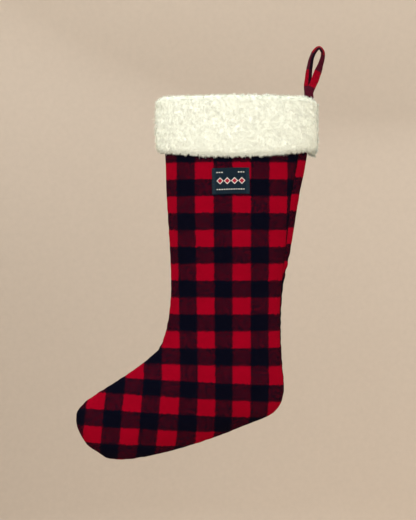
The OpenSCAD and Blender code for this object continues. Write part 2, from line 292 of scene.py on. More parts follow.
class Graph:
    """A material's node tree with short ways to add nodes."""

    def __init__(self, name):
        self.material = bpy.data.materials.new(name)
        self.material.use_nodes = True
        self.tree = self.material.node_tree
        self.tree.nodes.clear()
        self.shader = self.tree.nodes.new("ShaderNodeBsdfPrincipled")
        out = self.tree.nodes.new("ShaderNodeOutputMaterial")
        self.tree.links.new(self.shader.outputs["BSDF"], out.inputs["Surface"])

    def feed(self, socket, value):
        """Link a node's output to a socket, or set the socket to a plain value."""
        if isinstance(value, bpy.types.NodeSocket):
            self.tree.links.new(value, socket)
        elif value is not None:
            socket.default_value = value

    def attribute(self, name):
        node = self.tree.nodes.new("ShaderNodeAttribute")
        node.attribute_name = name
        return node.outputs["Vector"]

    def object_coords(self):
        return self.tree.nodes.new("ShaderNodeTexCoord").outputs["Object"]

    def millimetres(self):
        """The point's own place in millimetres."""
        return self.times(self.object_coords(), 1 / MM)

    def split(self, vector):
        """The three parts of a vector."""
        node = self.tree.nodes.new("ShaderNodeSeparateXYZ")
        self.feed(node.inputs[0], vector)
        return node.outputs

    def join(self, x, y, z=0.0):
        node = self.tree.nodes.new("ShaderNodeCombineXYZ")
        for socket, value in zip(node.inputs, (x, y, z)):
            self.feed(socket, value)
        return node.outputs[0]

    def math(self, operation, a, b=None, c=None, clamp=False):
        """One sum of a Math node; clamp keeps it between 0 and 1."""
        node = self.tree.nodes.new("ShaderNodeMath")
        node.operation = operation
        node.use_clamp = clamp
        for socket, value in zip(node.inputs, (a, b, c)):
            self.feed(socket, value)
        return node.outputs[0]

    def range(self, value, low, high, to_low=0.0, to_high=1.0, soft=True):
        """The value's way from low to high as a way from to_low to to_high, eased if soft."""
        node = self.tree.nodes.new("ShaderNodeMapRange")
        node.interpolation_type = "SMOOTHSTEP" if soft else "LINEAR"
        self.feed(node.inputs["Value"], value)
        for key, number in zip(("From Min", "From Max", "To Min", "To Max"), (low, high, to_low, to_high)):
            self.feed(node.inputs[key], number)
        return node.outputs[0]

    def noise(self, vector, scale, detail, roughness=0.55):
        node = self.tree.nodes.new("ShaderNodeTexNoise")
        self.feed(node.inputs["Vector"], vector)
        for key, number in (("Scale", scale), ("Detail", detail), ("Roughness", roughness)):
            self.feed(node.inputs[key], number)
        return node.outputs["Fac"]

    def random(self, vector):
        """A random number that is the same wherever the vector is."""
        node = self.tree.nodes.new("ShaderNodeTexWhiteNoise")
        self.feed(node.inputs["Vector"], vector)
        return node.outputs["Value"]

    def mix(self, factor, a, b):
        """Colour a at a factor of 0, and b at 1."""
        node = self.tree.nodes.new("ShaderNodeMix")
        node.data_type = "RGBA"
        self.feed(node.inputs[0], factor)
        self.feed(node.inputs[6], a)
        self.feed(node.inputs[7], b)
        return node.outputs[2]

    def times(self, vector, factor):
        """A colour or a vector times a number."""
        node = self.tree.nodes.new("ShaderNodeVectorMath")
        node.operation = "SCALE"
        self.feed(node.inputs[0], vector)
        self.feed(node.inputs["Scale"], factor)
        return node.outputs[0]

    def bump(self, height, distance, strength):
        node = self.tree.nodes.new("ShaderNodeBump")
        node.inputs["Strength"].default_value = strength
        node.inputs["Distance"].default_value = distance
        self.feed(node.inputs["Height"], height)
        self.feed(self.shader.inputs["Normal"], node.outputs[0])

    def finish(self, colour, roughness, specular, sheen=0.0, sheen_tint=None, sheen_rough=0.5):
        """Feed the shader and hand back the material."""
        self.feed(self.shader.inputs["Base Color"], colour)
        self.feed(self.shader.inputs["Roughness"], roughness)
        self.shader.inputs["Specular IOR Level"].default_value = specular
        self.shader.inputs["Sheen Weight"].default_value = sheen
        self.shader.inputs["Sheen Roughness"].default_value = sheen_rough
        if sheen_tint:
            self.shader.inputs["Sheen Tint"].default_value = (*sheen_tint, 1)
        return self.material


RED = (0.245, 0.0, 0.0098, 1)
BLACK = (0.0005, 0.0014, 0.0056, 1)


# How soft a check's edge is to either side, and how far it wanders, in millimetres
EDGE = 1.1
WANDER = 8.0


def twill(g, across, along):
    """Places and numbers of the warp and weft threads, and 1 where a 2/2 twill has its warp on top."""
    warp_at, weft_at = (g.math("DIVIDE", v, THREAD) for v in (across, along))
    warp_no, weft_no = (g.math("FLOOR", v) for v in (warp_at, weft_at))
    step = g.math("FRACT", g.math("DIVIDE", g.math("ADD", warp_no, weft_no), 4))
    return warp_at, weft_at, warp_no, weft_no, g.math("LESS_THAN", step, 0.49)


def plaid(name):
    """Brushed 2/2 twill in red and black checks; reads the cloth attribute in millimetres."""
    g = Graph(name)
    cloth = g.attribute("cloth")
    drift = g.math("SUBTRACT", g.noise(cloth, 0.35, 4.0, 0.65), 0.5)
    across, along = g.split(cloth)[:2]
    col = g.math("MULTIPLY_ADD", drift, WANDER, across)
    row = g.math("MULTIPLY_ADD", drift, -WANDER, along)

    def band(value, size):
        """1 over every second check, fading at its edges."""
        place = g.math("FRACT", g.math("DIVIDE", value, 2 * size))
        off = g.math("ABSOLUTE", g.math("SUBTRACT", place, 0.75))
        half_edge = EDGE / (2 * size)
        return g.range(off, 0.25 - half_edge, 0.25 + half_edge, 1.0, 0.0)

    warp_red = band(col, CHECK_W)
    weft_red = band(g.math("ADD", row, CHECK_H), CHECK_H)
    warp_at, weft_at, warp_no, weft_no, warp_up = twill(g, across, along)

    both = g.math("MULTIPLY", warp_red, weft_red)
    only_warp = g.math("SUBTRACT", warp_red, both)
    only_weft = g.math("SUBTRACT", weft_red, both)
    speck = g.noise(cloth, 0.55, 3.0, 0.7)
    # the twill's ribs run down the diagonal
    down_rib = g.math("MULTIPLY", g.math("SUBTRACT", across, along), 0.25)
    ribs = g.noise(g.join(g.math("ADD", across, along), down_rib), 0.6, 2.0, 0.6)
    grain = g.math("MULTIPLY", g.math("ADD", speck, ribs), 0.5)
    nap = g.range(grain, 0.455, 0.545, 0.0, 2.1, soft=False)
    show_warp = g.math("MULTIPLY", nap, g.math("MULTIPLY_ADD", warp_up, 0.15, 0.012))
    show_weft = g.math("MULTIPLY", nap, g.math("MULTIPLY_ADD", warp_up, -0.18, 0.192))
    red = g.math("MULTIPLY_ADD", only_warp, show_warp, both)
    red = g.math("MULTIPLY_ADD", only_weft, show_weft, red)

    strand = g.random(g.join(warp_no, g.math("MULTIPLY", weft_no, 0.25)))
    blotch = g.noise(cloth, 0.045, 3.0)
    fuzz = g.noise(cloth, 1.6, 4.0, 0.7)
    level = g.math("MULTIPLY_ADD", strand, 0.16, 0.40)
    level = g.math("MULTIPLY_ADD", blotch, 0.25, level)
    level = g.math("MULTIPLY_ADD", speck, 0.65, level)
    level = g.math("MULTIPLY_ADD", fuzz, 0.16, level)
    lint = g.range(fuzz, 0.56, 0.76, 0.0, 0.05)
    colour = g.times(g.mix(g.math("ADD", red, lint, clamp=True), BLACK, RED), level)

    def crown(value):
        """Round back of the thread that lies here."""
        place = g.math("SUBTRACT", g.math("FRACT", value), 0.5)
        return g.math("SUBTRACT", 1.0, g.math("MULTIPLY", 3.2, g.math("MULTIPLY", place, place)))

    warp_back = g.math("MULTIPLY", crown(warp_at), warp_up)
    weft_back = g.math("MULTIPLY", crown(weft_at), g.math("SUBTRACT", 1.0, warp_up))
    relief = g.math("ADD", warp_back, weft_back)
    g.bump(g.math("MULTIPLY_ADD", fuzz, 0.8, relief), 0.00022, 0.6)
    rough = g.range(fuzz, 0.3, 0.7, 0.86, 0.98)
    return g.finish(colour, rough, 0.03, sheen=0.02, sheen_tint=(0.5, 0.12, 0.16), sheen_rough=0.6)


def sherpa(name, colour, dark):
    """The fleece's ground: mottled tufts with shaded hollows."""
    g = Graph(name)
    place = g.millimetres()
    tufts = g.noise(place, 0.3, 4.0, 0.6)
    broad = g.noise(place, 0.03, 2.0)
    shade = g.range(tufts, 0.3, 0.62)
    shade = g.math("MULTIPLY_ADD", g.math("SUBTRACT", broad, 0.5), 0.5, shade, clamp=True)
    g.bump(tufts, 0.0012, 0.5)
    rough = g.range(tufts, 0.3, 0.7, 0.9, 1.0)
    return g.finish(g.mix(shade, dark, colour), rough, 0.05, sheen=0.15, sheen_tint=(1, 0.98, 0.9))


def yarn(name, colour):
    """Twisted sewing thread."""
    g = Graph(name)
    place = g.millimetres()
    twist = g.noise(place, 3.5, 2.0)
    tone = g.math("MULTIPLY_ADD", twist, 0.5, 0.75)
    g.bump(twist, 0.0001, 0.5)
    return g.finish(g.times(colour, tone), g.range(twist, 0.3, 0.7, 0.45, 0.7), 0.4)


# ---------------------------------------------------------------- sock panels


# Pull on the woven grid: the shin side's shift by the ankle, and the foot's slants down and across
SHIN_SHIFT = 5.5
LEG_TOP, ANKLE = -205, -439
FOOT_SLANT_DOWN = 0.09
FOOT_SLANT_ACROSS = 0.057
# Shift of the back's grid against the front's, and the slant of its checks at the calf seam
BACK_COL, BACK_ROW = 10.5, 3.5
CALF_SLANT = 0.165


def shift_of_checks(x, z):
    """How far the woven grid is pulled at x, z."""
    shin = smooth(-100, -195, x)
    down = np.clip((LEG_TOP - z) / (LEG_TOP - ANKLE), 0, 1)
    foot = np.clip(-450 - z, 0, 200) * smooth(-130, -220, x)
    dx = SHIN_SHIFT * shin * down - FOOT_SLANT_DOWN * foot
    dz = -FOOT_SLANT_ACROSS * (x + 155) * smooth(-400, -460, z)
    return dx, dz


def checks_at(flat, front):
    """Places in the woven grid, across and down it, at points of the flat cloth."""
    x, z = flat[..., 0], flat[..., 2]
    dx, dz = shift_of_checks(x, z)
    col = x - dx - CHECK_X
    row = CHECK_Z - (z - dz)
    if not front:
        # where the back wraps round the calf, its red column keeps to the slanting seam
        wrapped = smooth(-60, -25, x) * smooth(-330, -280, z)
        col = x - CHECK_X + BACK_COL - CALF_SLANT * (z + 203) * wrapped
        row = row + BACK_ROW
    return np.stack([col, row, 0 * col], -1)


def panel_relief(half_width, arc, run):
    """A groove along both seams with small puckers, and soft unevenness of the cloth."""
    edge = np.minimum(arc, arc[:, -1:] - arc)
    groove = -1.5 * np.exp(-((edge / 2.6) ** 2)) * np.minimum(1, half_width / 25)
    pucker = 0.55 * waves(run[..., [0, 2]], 5, 17)
    pucker = pucker * np.exp(-((edge - 5) / 7) ** 2) * np.minimum(1, half_width / 40)
    return groove + pucker + 0.5 * waves(run, 11, 70) * smooth(2, 25, edge)


def panel_rings(front):
    """Rings of one panel and the cloth coordinates of its points, both as arrays."""
    across, along = 84, 250
    s = np.linspace(0, LAST_RUNG, along + 1)
    sec = Section(s[:, None])
    a, b, turn = sec.a, sec.b, sec.turn
    sign = -1 if front else 1
    ease = np.linspace(0, 1, across + 1)[None, :]
    end = turn if front else 360 + turn
    phi = 180 + (end - 180) * ease

    def oval(inset, angle):
        """Points u, y of the section's oval drawn in by inset."""
        u = (a - inset) * np.cos(np.radians(angle))
        return u, -(b - inset) * bulge(angle)

    # arc length from the crown, which is where the cloth's own coordinates are kept true
    u, y = oval(0, phi)
    step = np.hypot(np.diff(u, axis=1), np.diff(y, axis=1))
    arc = np.concatenate([np.zeros((along + 1, 1)), np.cumsum(step, 1)], 1)
    crown = 90 if front else 270
    at_crown = np.array([np.interp(crown, np.sort(p), q[np.argsort(p)]) for p, q in zip(phi, arc)])
    flat = arc - at_crown[:, None]
    flat = np.where(flat < 0, 0.65 * np.maximum(u, flat) + 0.35 * flat, flat)

    relief = panel_relief(a, arc, sec.place(u, y))
    du, dy = np.gradient(u, axis=1), np.gradient(y, axis=1)
    normal_u, normal_y = -dy * sign, du * sign
    size = np.maximum(np.hypot(normal_u, normal_y), 1e-9)
    outer_u = u + relief * normal_u / size
    outer_y = y + relief * normal_y / size + sign * GAP

    # seam allowances: where the inside runs into them, how far they reach in, their thickness
    fold = np.minimum(5.5, CLOTH + 0.3 * (a - CLOTH))
    reach = np.minimum(ALLOWANCE, CLOTH + 0.6 * (a - CLOTH))
    flap = CLOTH * np.minimum(0.7, a / 20)
    angle = np.radians(turn)
    n_u, n_y = sign * np.sin(angle), sign * np.cos(angle)
    rim_u, rim_y = a * np.cos(angle), -b * bulge(turn)
    tip_u, tip_y = rim_u - reach * np.cos(angle), rim_y + reach * np.sin(angle)
    if front:
        first = np.degrees(np.arccos((a * np.cos(angle) - fold) / (a - CLOTH)))
        last = 180 - np.degrees(np.arccos((a - fold) / (a - CLOTH)))
    else:
        bend = np.degrees(np.arccos((a - fold) / (a - CLOTH)))
        first, last = 360 + turn - bend, 180 + bend
    inner_u, inner_y = oval(CLOTH, first + (last - first) * ease)

    ring_u = np.concatenate([
        outer_u, tip_u + GAP * n_u, tip_u + (GAP + flap) * n_u, inner_u, reach - a, reach - a,
    ], 1)
    ring_y = np.concatenate([
        outer_y, tip_y + GAP * n_y, tip_y + (GAP + flap) * n_y, inner_y,
        sign * (GAP + flap), 0 * a + sign * GAP,
    ], 1)
    points = sec.place(ring_u, ring_y)
    ring_flat = np.concatenate([flat, tip_u, tip_u, inner_u, reach - a, reach - a], 1)
    cloth = checks_at(sec.place(ring_flat, 0), front)
    return (points, cloth) if front else (points[:, ::-1], cloth[:, ::-1])


def build_panel(name, front):
    """One panel of wool, with its seam allowances turned in."""
    points, cloth = panel_rings(front)
    panel = skin(name, points)
    store(panel, "cloth", cloth)
    return panel


front_panel = build_panel("wool_front", True)
back_panel = build_panel("wool_back", False)
wool = plaid("brushed_plaid_wool")
for panel, node in ((front_panel, "front_panel"), (back_panel, "back_panel")):
    panel.data.materials.append(wool)
    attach(panel, "stocking")
    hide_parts(node)

# ---------------------------------------------------------------- cuff

CUFF_TOP = cuff_high[2]
CUFF_MIDDLE = (cuff_low[0] + cuff_high[0]) / 2
CUFF_A = (cuff_high[0] - cuff_low[0]) / 2
CUFF_B = (cuff_high[1] - cuff_low[1]) / 2
# How far the band's edge sags at its middle, and the share of that by which its shin end is lower
CUFF_SAG = 8.5
CUFF_TILT = 0.12
CUFF_LOW = cuff_low[2] + CUFF_SAG
# Room between fleece and wool, the facing's thickness and depth, and how far the pile stands up
EASE = 0.6
FACING = 5
FACING_H = 36
PILE = 2.2
# Angle of the seam that closes the band, in degrees to the front of its calf end
CUFF_SEAM = 21


def leg_oval(z, inset, phi):
    """Ring of the leg's section at height z, drawn in by inset."""
    sec = Section(rung_at(np.full_like(phi, min(z, sock_high[2]))))
    u = (sec.a - inset) * np.cos(np.radians(phi))
    return np.stack([sec.middle[..., 0] + u, -(sec.b - inset) * bulge(phi), np.full_like(phi, z)], -1)


def facing_oval(z, deep, phi):
    """Ring of the facing, deep inside its wool side, stopping short of the allowances."""
    ring = leg_oval(z, CLOTH + EASE + deep, phi)
    sec = Section(rung_at(np.full_like(phi, min(z, sock_high[2]))))
    clear = 2 * EASE + deep
    shin = sec.middle[..., 0] - sec.a + ALLOWANCE + clear
    turn = np.radians(sec.turn)
    calf = (sec.a - ALLOWANCE) * np.cos(turn) - (GAP + 0.7 * CLOTH) * np.sin(turn) - clear
    ring[:, 0] = np.clip(ring[:, 0], shin, sec.middle[..., 0] + calf)
    return ring


def cuff_oval(z, inset, sag, phi):
    """Ring of the band at height z, drawn in by inset, its front and seamed end sagging."""
    u = (CUFF_A - inset) * np.cos(np.radians(phi))
    y = -(CUFF_B - inset) * bulge(phi)
    end = np.exp(-((half_turn(-phi - 8) / 13) ** 2))
    dip = np.sin(np.radians(phi)) ** 2 + 0.9 * end - CUFF_TILT * np.cos(np.radians(phi))
    return np.stack([CUFF_MIDDLE + u, y, z - sag * dip], -1)


def cuff_profile(phi):
    """Key rings of the cuff: its rim (0 to 3), face (to 8), bottom edge (to 11), then up inside the
    band, over the wool's rim (15), down behind the facing (18) and up its face to the rim (from 21).
    """
    top, low = CUFF_TOP, CUFF_LOW
    lip_in = facing_oval(top - 8, FACING, phi)
    lip_out = cuff_oval(top - 8, 0, 0, phi)

    # the corners are rounded off outside the wool's rim, the seamed end's the most
    corner = np.clip(1 - np.abs(np.sin(np.radians(phi))) / 0.5, 0, 1) ** 2
    corner = corner * np.where(np.cos(np.radians(phi)) > 0, 1, 0.5)

    def lip(t, z):
        """Ring of the rim at height z, from the mouth's side at t = 0 to the face at t = 1."""
        ring = lip_in + (lip_out - lip_in) * t
        ring[:, 2] = z - 5.5 * corner * smooth(0.5, 0.95, t)
        return ring

    return [
        lip(0.55, top), lip(0.75, top - 0.7), lip(0.9, top - 3),
        cuff_oval(top - 7, 0.3, 0, phi) - 3.5 * corner[:, None] * [0, 0, 1],
        cuff_oval(top - 14, 0, 0, phi), cuff_oval(top - 30, -0.5, 0.15 * CUFF_SAG, phi),
        cuff_oval(top - 48, -0.5, 0.5 * CUFF_SAG, phi), cuff_oval(low + 12, 0, CUFF_SAG, phi),
        cuff_oval(low + 5, 0.8, CUFF_SAG, phi), cuff_oval(low + 1, 3, CUFF_SAG, phi),
        cuff_oval(low, 6, CUFF_SAG, phi), leg_oval(low + 2, -EASE, phi),
        leg_oval(low + 20, -EASE, phi), leg_oval((low + top) / 2, -EASE, phi),
        leg_oval(sock_high[2] - 6, -EASE, phi), leg_oval(sock_high[2] + EASE, -EASE, phi),
        facing_oval(sock_high[2] + EASE, 0, phi), facing_oval(sock_high[2] - 8, 0, phi),
        facing_oval(top - FACING_H + 1, 0, phi), facing_oval(top - FACING_H, 2, phi),
        facing_oval(top - FACING_H, FACING - 1, phi), facing_oval(top - FACING_H + 4, FACING, phi),
        facing_oval(top - 12, FACING, phi), lip(0.08, top - 4), lip(0.25, top - 1),
    ]


def seam_closeness(phi, width):
    """1 at the angle of the cuff's seam, falling off within width degrees."""
    return np.exp(-((half_turn(-phi - CUFF_SEAM) / width) ** 2))


def build_cuff():
    """The ground's rings and normals, its ring numbers and angles, and how much each ring shows."""
    around, fine = 420, 4
    phi = -np.linspace(0, 360, around, endpoint=False)
    keys = np.stack(cuff_profile(phi))
    keys = np.concatenate([keys[-1:], keys, keys[:2]])
    s = np.arange(0, len(keys) - 3, 1 / fine)
    rings = curve(keys, s + 1)
    across = np.roll(rings, -1, 0) - np.roll(rings, 1, 0)
    round_ = np.roll(rings, -1, 1) - np.roll(rings, 1, 1)
    normal = unit(np.cross(across, round_))
    outward = np.sum(normal * (rings - [CUFF_MIDDLE, 0, 0]) * [1, 1, 0], -1)
    if np.mean(outward[(s > 4) & (s < 7)]) < 0:
        normal = -normal
    lumps = 0.5 * waves(rings, 3, 11) + 0.5 * waves(rings, 4, 34)
    outside = smooth(10.6, 9, s)[:, None]
    shown = outside + smooth(20, 21.5, s)[:, None]
    lift = (0.4 * lumps - PILE) * shown - 4.2 * seam_closeness(phi, 1.9) * outside
    return rings + normal * lift[..., None], normal, s, phi, shown


cuff_rings, cuff_normals, cuff_s, cuff_phi, cuff_shown = build_cuff()
cuff = skin("sherpa_cuff", cuff_rings, loop=True)
cuff.data.materials.append(sherpa("sherpa_ground", (0.94, 0.98, 0.87, 1), (0.88, 0.915, 0.80, 1)))


def blades(name, fibres, width, seed):
    """Curved, tapering fibres from their roots, bending from the normal over to their lean."""
    roots, normals, leans, lengths, shades = fibres
    rng = np.random.default_rng(seed)
    count = len(roots)
    rise = unit(0.6 * normals + 0.8 * leans + 0.2 * rng.normal(size=(count, 3)))
    bend = unit(0.06 * normals + leans + 0.35 * rng.normal(size=(count, 3)))
    side = unit(np.cross(leans, normals) + 0.35 * rng.normal(size=(count, 3)))
    length = lengths[:, None]
    t = np.array([0, 0.4, 0.75, 1])
    half = width / 2 * np.array([0.8, 1, 0.75, 0])
    spine = (
        roots[:, None]
        + rise[:, None] * (t - t * t / 2)[:, None] * length[:, None]
        + bend[:, None] * (t * t / 2)[:, None] * length[:, None]
    )
    left = spine - side[:, None] * half[:, None]
    right = spine + side[:, None] * half[:, None]
    pairs = [side_line[:, k] for k in range(3) for side_line in (left, right)]
    points = np.stack([*pairs, spine[:, 3]], 1)
    per_blade = points.shape[1]
    facing = np.sum(np.cross(right[:, 0] - left[:, 0], left[:, 1] - left[:, 0]) * normals, -1) > 0
    faces = []
    for k in range(count):
        o = per_blade * k
        parts = [(o, o + 1, o + 3, o + 2), (o + 2, o + 3, o + 5, o + 4), (o + 4, o + 5, o + 6)]
        faces += parts if facing[k] else [q[::-1] for q in parts]
    mesh = bpy.data.meshes.new(name)
    mesh.from_pydata((points.reshape(-1, 3) * MM).tolist(), [], faces)
    soft = unit(normals + 0.05 * leans + 0.08 * rng.normal(size=(count, 3)))
    mesh.shade_smooth()
    mesh.normals_split_custom_set_from_vertices(np.repeat(soft, per_blade, 0).tolist())
    obj = bpy.data.objects.new(name, mesh)
    bpy.context.scene.collection.objects.link(obj)
    # how far along its fibre each point lies, which sets the painted shade at the root; a random number of
    # its fibre; and the fibre's painted shade
    tone = np.tile([0, 0, 0.45, 0.45, 0.8, 0.8, 1], count)
    own = np.repeat(rng.uniform(0, 1, count), per_blade)
    store(obj, "fibre", np.stack([tone, own, np.repeat(shades, per_blade)], -1))
    return obj


def pile_material():
    """Cream fibres, with painted shade at the root and grey-green painted shade in the seam and along the
    edges; each a little different.
    """
    g = Graph("sherpa_pile")
    along, own, shade = g.split(g.attribute("fibre"))[:3]
    place = g.millimetres()
    patch = g.noise(place, 0.12, 2.0)
    # painted shade: darker towards each fibre's root
    level = g.math("MULTIPLY_ADD", along, 0.35, 0.65)
    level = g.math("MULTIPLY_ADD", g.math("SUBTRACT", patch, 0.5), 0.12, level, clamp=True)
    tint = g.math("MULTIPLY_ADD", own, 0.05, 0.95)
    colour = g.times(g.mix(level, (0.89, 0.925, 0.81, 1), (0.965, 1.0, 0.90, 1)), tint)
    # painted shade: grey-green copies of the cream, laid on by each fibre's shade value
    shaded = g.times(g.mix(level, (0.28, 0.335, 0.30, 1), (0.66, 0.745, 0.70, 1)), tint)
    colour = g.mix(shade, colour, shaded)
    rough = g.range(own, 0, 1, 0.85, 1.0)
    return g.finish(colour, rough, 0.05, sheen=0.1, sheen_tint=(1, 0.98, 0.9))


def scatter(count, weight, rng):
    """Random places on the cuff's ground, as rows and columns of its grid and points there."""
    rows, cols = cuff_rings.shape[:2]
    down = np.roll(cuff_rings, -1, 0) - cuff_rings
    along = np.roll(cuff_rings, -1, 1) - cuff_rings
    share = np.cumsum((np.linalg.norm(np.cross(down, along), axis=-1) * weight).ravel())
    cell = np.searchsorted(share, (np.arange(count) + rng.uniform(0, 1, count)) / count * share[-1])
    row, col = np.unravel_index(np.minimum(cell, rows * cols - 1), (rows, cols))
    f, g = rng.uniform(0, 1, (2, count, 1))
    return row, col, cuff_rings[row, col] + f * down[row, col] + g * along[row, col]


def on_surface(vectors, normals):
    """Vectors with what points along the normals taken out."""
    return vectors - normals * np.sum(vectors * normals, -1)[..., None]


def outward_at(row, col):
    """The ground's normals, turned outward under the bottom edge, where the pile hangs from the face."""
    face = int(np.argmin(np.abs(cuff_s - 6.5)))
    under = (smooth(7.2, 8.4, cuff_s) * smooth(12, 11, cuff_s))[row, None]
    return unit(cuff_normals[row, col] + 2.5 * under * cuff_normals[face, col])


def painted_pile_shade(row, col):
    """How much painted shade greys the pile: in the seam, on the end right of it, and along the top and
    bottom edges.
    """
    angle = half_turn(-cuff_phi[col])
    beside = smooth(CUFF_SEAM + 3, CUFF_SEAM, angle) * smooth(-16, -6, angle)
    s = cuff_s[row]
    edges = smooth(3.6, 2.2, s) + smooth(7.4, 9, s) * smooth(11, 10, s)
    shade = 0.50 * beside + 0.95 * seam_closeness(cuff_phi[col], 2.2) + 0.10 * edges
    return np.clip(shade, 0, 1) * (s < 12)


def body_pile(rng):
    """The short, soft pile that covers every face of the fleece that can be seen."""
    tufts, per_tuft = 15000, 4
    row, col, centre = scatter(tufts, cuff_shown * (1 - 0.9 * seam_closeness(cuff_phi, 1.8)), rng)
    normal = outward_at(row, col)
    fall = on_surface(np.array([0, 0, -1.0]), normal)
    swirl = np.stack([waves(centre, seed, 24) for seed in (31, 32, 33)], -1)
    lean = unit(on_surface(0.55 * fall + 0.25 * swirl + 0.45 * rng.normal(size=(tufts, 3)), normal))
    inside = cuff_s[row] > 15
    length = rng.uniform(4.2, 6.2, tufts) * np.where(inside, 0.75, 1)
    spread = on_surface(1.0 * rng.normal(size=(tufts, per_tuft, 3)), normal[:, None])
    roots = (centre[:, None] + spread - 0.6 * normal[:, None]).reshape(-1, 3)
    leans = lean[:, None] - 0.12 * spread + 0.24 * rng.normal(size=spread.shape)
    lengths = np.repeat(length, per_tuft) * rng.uniform(0.75, 1.15, tufts * per_tuft)
    # painted shade of the seam and edges, plus a little random greying of each fibre
    shades = np.repeat(painted_pile_shade(row, col), per_tuft) + 0.07 * rng.uniform(0, 1, len(lengths)) ** 3
    return roots, np.repeat(normal, per_tuft, 0), unit(leans.reshape(-1, 3)), lengths, shades


def edge_pile(rng):
    """Locks of longer strands that stray from the bottom edge, the rim and the seamed end."""
    s = cuff_s[:, None]
    low = smooth(8.2, 9.2, s) * smooth(11, 10.4, s)
    high = smooth(3.4, 2.6, s) + smooth(22.5, 23.5, s)
    seam = 2.2 * seam_closeness(cuff_phi, 4)[None, :] * smooth(8, 7, s)
    locks, per_lock = 900, 8
    row, col, centre = scatter(locks, 3.2 * low + 0.3 * high + seam, rng)
    normal = np.repeat(outward_at(row, col), per_lock, 0)
    fall = np.where(cuff_normals[row, col, 2:] > 0.3, 0.0, -1.0) * [0, 0, 1]
    reach = rng.uniform(3, 5.4, (locks, 1))
    tip = centre + reach * unit(fall + 0.35 * cuff_normals[row, col] + 0.3 * rng.normal(size=centre.shape))
    centre, tip = np.repeat(centre, per_lock, 0), np.repeat(tip, per_lock, 0)
    roots = centre + on_surface(1.1 * rng.normal(size=centre.shape), normal) - 0.4 * normal
    way = tip + 0.5 * rng.normal(size=tip.shape) - roots
    lengths = np.linalg.norm(way, axis=-1) * rng.uniform(0.7, 1.05, len(roots))
    own = np.repeat(rng.normal(size=locks), per_lock)
    # painted shade of the seam and edges, a little more on every lock, plus a random grey of each lock
    shades = np.clip(0.06 + painted_pile_shade(np.repeat(row, per_lock), np.repeat(col, per_lock)) + 0.25 * own, 0, 1)
    return roots, normal, unit(way), lengths, shades


def build_pile():
    """The cuff's pile, in a front and a rear piece."""
    rng = np.random.default_rng(21)
    fibres = [np.concatenate(both) for both in zip(body_pile(rng), edge_pile(rng))]
    material = pile_material()
    back = fibres[0][:, 1] > 0
    pieces = []
    for name, part in (("sherpa_pile_front", ~back), ("sherpa_pile_back", back)):
        pile = blades(name, [v[part] for v in fibres], width=0.46, seed=40)
        pile.data.materials.append(material)
        pieces.append(pile)
    return pieces


piles = build_pile()
for piece in (cuff, *piles):
    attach(piece, "stocking")
    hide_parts("cuff")

# ---------------------------------------------------------------- hanging loop

STRIP_W = 10.5
STRIP_T = 2.6
# The strip's middle from its rear end, over the hook, to its front end: x, y, z from the pivot,
# then its turn away from facing the front, in degrees
STRIP_ROUTE = np.array([
    [-0.9, 1.6, -34, 0],
    [-0.9, 1.6, -22, 0],
    [-0.9, 1.6, -10, 0],
    [-0.9, 1.6, 0, 0],
    [-1.3, 2.9, 6.2, 16],
    [-0.9, 4, 14.2, 26],
    [0.3, 4.2, 26.2, 40],
    [1.9, 3.6, 37.2, 54],
    [4.1, 3, 46.7, 58],
    [7.9, 2.2, 54.8, 60],
    [13.8, 1.2, 59.7, 62],
    [18.3, 0.3, 54.8, 60],
    [18.7, -0.4, 47.2, 58],
    [15.3, -1, 35.2, 44],
    [10.7, -1.4, 23.2, 18],
    [6.3, -1.6, 11.2, 6],
    [0.9, -1.6, 0, 0],
    [0.9, -1.6, -10, 0],
    [0.9, -1.6, -22, 0],
    [0.9, -1.6, -34, 0],
])
# Number of the point where the rear leg leaves the cuff
ROOT_REAR = 3
# The strip's checks: their height, where they start, and the rear face's shift to its own weave
LOOP_CHECK = 22.9
LOOP_CHECK_START = 14.5
REAR_SHIFT = 11


def build_strip():
    """One folded strip of wool, sewn in at both ends and looped over the hook."""
    steps, size = 260, 28
    s = np.linspace(0, len(STRIP_ROUTE) - 1, steps + 1)
    route = curve(STRIP_ROUTE, s)
    path = route[:, :3] + PIVOT
    alpha = np.radians(route[:, 3])
    t = unit(np.gradient(path, axis=0))
    inward = unit(np.stack([t[:, 2], 0 * s, -t[:, 0]], -1))
    front = np.array([0, -1.0, 0])
    w = unit(np.cos(alpha)[:, None] * inward + np.sin(alpha)[:, None] * front)
    w = unit(w - t * np.sum(w * t, -1)[:, None])
    n = np.cross(t, w)
    run = np.concatenate([[0], np.cumsum(np.linalg.norm(np.diff(path, axis=0), axis=1))])
    rear = np.interp(ROOT_REAR, s, run)

    k = np.radians(np.arange(size) * 360 / size)
    flat_w = np.sign(np.cos(k)) * np.abs(np.cos(k)) ** 0.45 * STRIP_W / 2
    flat_n = np.sign(np.sin(k)) * np.abs(np.sin(k)) ** 0.7 * STRIP_T / 2
    lap = np.exp(-(((flat_w + STRIP_W / 2 - 1.7) / 0.7) ** 2)) * np.sign(flat_n)
    ring_n = flat_n - 0.28 * lap - 0.12 * np.sign(flat_n) * np.exp(-((flat_w / 2) ** 2))
    uneven = 1 + 0.035 * np.sin(run / 5.1) + 0.025 * np.sin(run / 2.3 + 1)
    rings = (
        path[:, None]
        + w[:, None] * (flat_w * uneven[:, None])[..., None]
        + n[:, None] * np.broadcast_to(ring_n, (steps + 1, size))[..., None]
    )
    rings = rings + n[:, None] * (0.12 * waves(rings, 51, 4))[..., None]
    strip = skin("loop_strip", rings)
    cloth = np.stack([
        np.broadcast_to(flat_w + np.where(flat_n > 0, 0, REAR_SHIFT), rings.shape[:2]),
        np.broadcast_to((run - rear)[:, None], rings.shape[:2]),
        np.broadcast_to(flat_n, rings.shape[:2]),
    ], -1)
    store(strip, "cloth", cloth)
    return strip, run[-1]


strip, strip_length = build_strip()


